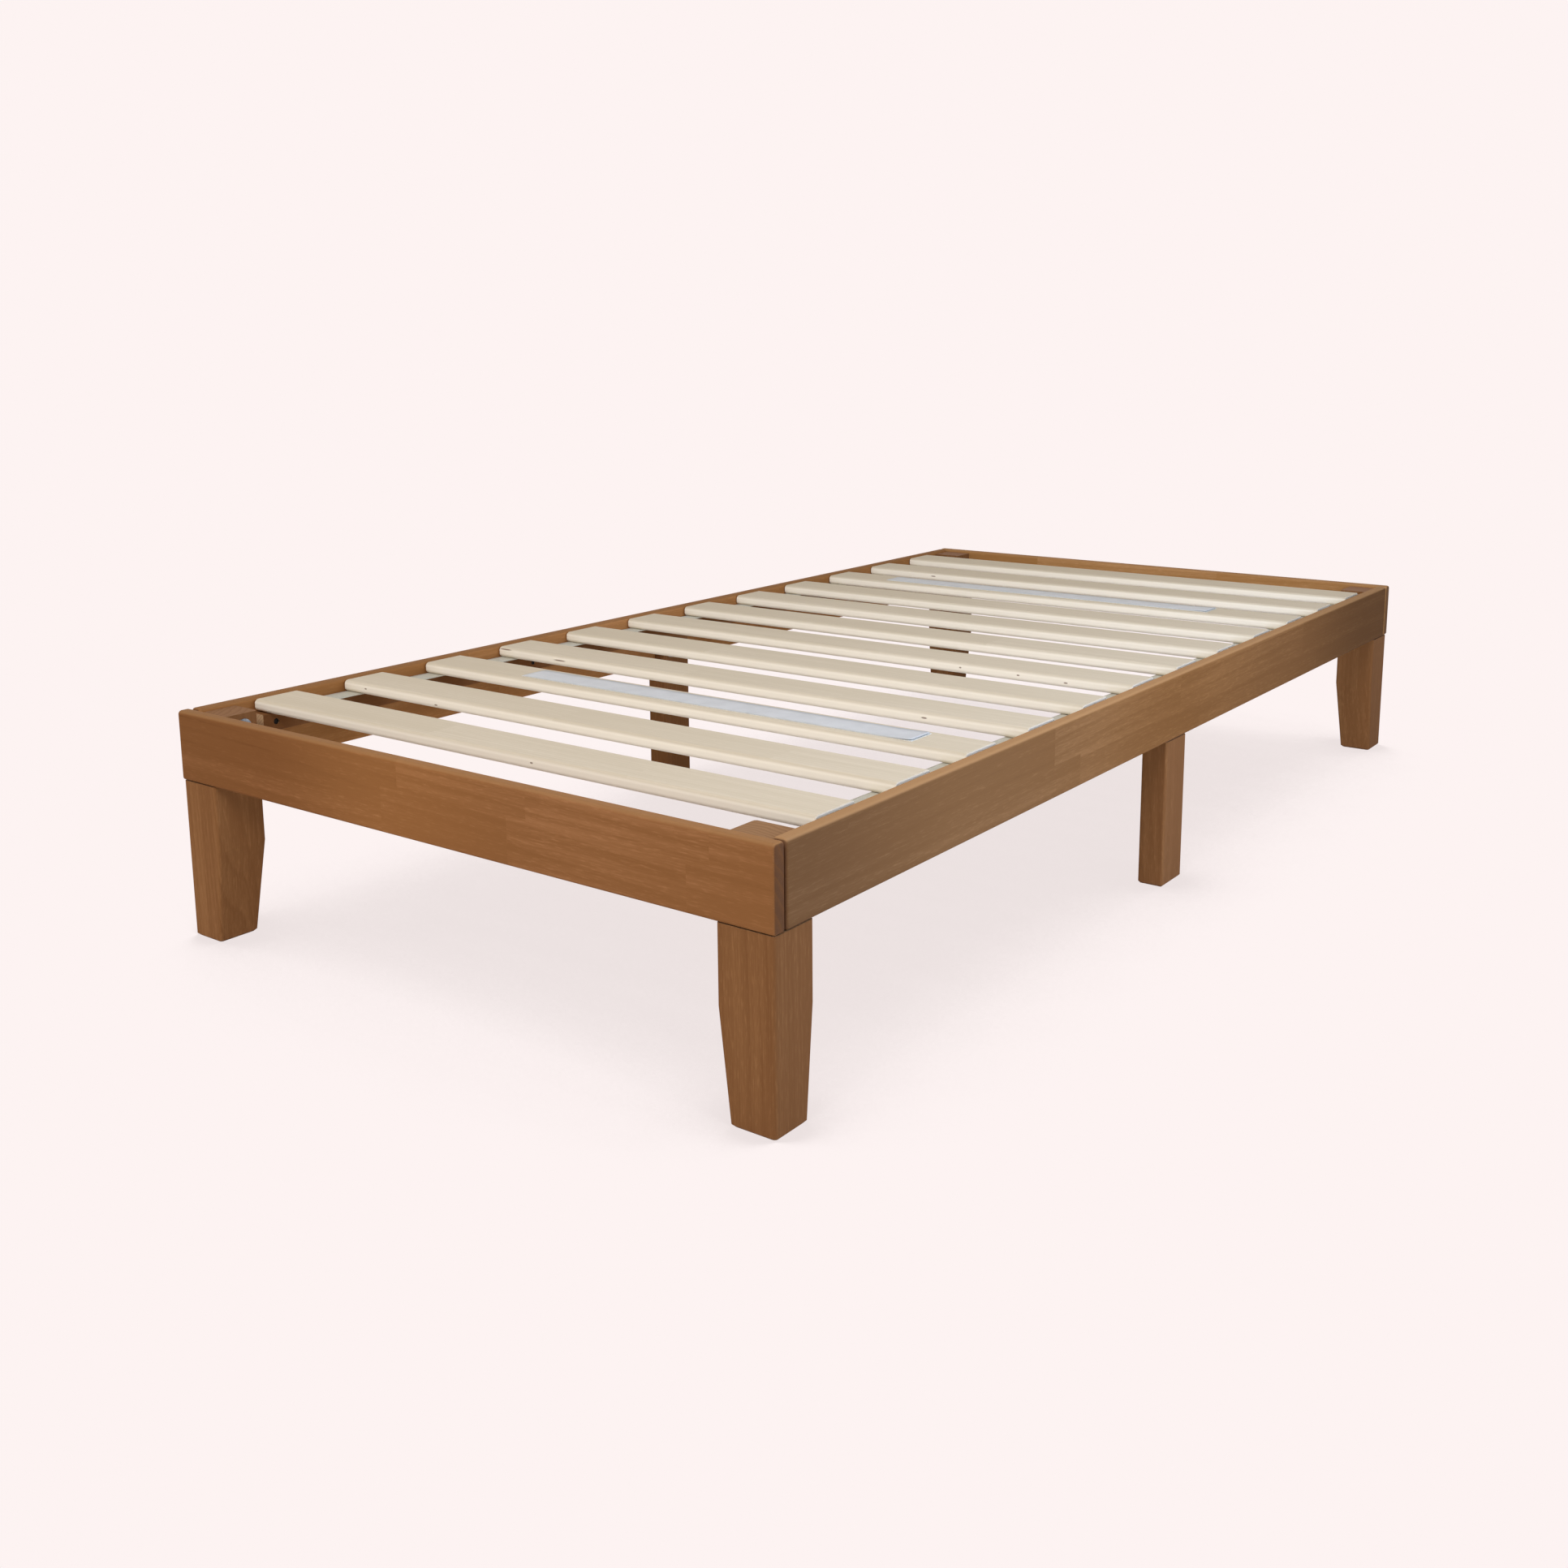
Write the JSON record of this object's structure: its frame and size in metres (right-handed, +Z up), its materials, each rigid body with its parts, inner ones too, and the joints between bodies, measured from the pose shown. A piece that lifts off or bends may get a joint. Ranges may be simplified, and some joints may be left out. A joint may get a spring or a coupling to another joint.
{
  "type": "bed frame",
  "caption": "Low platform bed frame: stained wood rails bolted to tapered corner legs and straight middle legs, with a strapped slat deck that lifts off its ledgers.",
  "frame": {"origin": "on the floor, under the middle of the bed", "axes": "+X to the right seen from the foot of the bed, +Y from the foot to the head, +Z up"},
  "size_m": [0.965, 1.905, 0.305],
  "materials": {
    "stained_pine": "brown stain, satin lacquer",
    "pale_pine": "planed and unfinished",
    "strap_webbing": "plain woven",
    "adhesive_tape": "double-sided tape",
    "release_paper": "coated, slight sheen",
    "zinc_plated_steel": "zinc plated",
    "black_steel": "black phosphate",
    "brass_insert": "turned"
  },
  "bodies": {
    "frame": {"foot_rail": "stained_pine", "head_rail": "stained_pine", "side_rail_left": "stained_pine", "side_rail_right": "stained_pine", "corner_leg_front_left": "stained_pine", "corner_leg_front_right": "stained_pine", "corner_leg_back_right": "stained_pine", "corner_leg_back_left": "stained_pine", "mid_leg_left": "stained_pine", "mid_leg_right": "stained_pine", "ledger_left": "stained_pine", "ledger_right": "stained_pine", "corner_bolts": "zinc_plated_steel", "corner_washers": "zinc_plated_steel", "mid_leg_bolts": "zinc_plated_steel", "mid_leg_washers": "zinc_plated_steel", "ledger_screws_left": "black_steel", "ledger_screws_right": "black_steel", "corner_insert_nuts": "brass_insert", "mid_leg_insert_nuts": "brass_insert"},
    "slat_deck": {"slat_01": "pale_pine", "slat_02": "pale_pine", "slat_03": "pale_pine", "slat_04": "pale_pine", "slat_05": "pale_pine", "slat_06": "pale_pine", "slat_07": "pale_pine", "slat_08": "pale_pine", "slat_09": "pale_pine", "slat_10": "pale_pine", "slat_11": "pale_pine", "slat_12": "pale_pine", "slat_strap_left": "strap_webbing", "slat_strap_right": "strap_webbing", "strap_staples_left": "zinc_plated_steel", "strap_staples_right": "zinc_plated_steel", "grip_tape_front": "adhesive_tape", "grip_tape_back": "adhesive_tape", "tape_liner_front": "release_paper", "tape_liner_back": "release_paper"}
  },
  "joints": [
    {"name": "deck_lift", "type": "slide", "parent": "frame", "child": "slat_deck", "axis": [0, 0, 1], "range_m": [0, 0.15]}
  ]
}
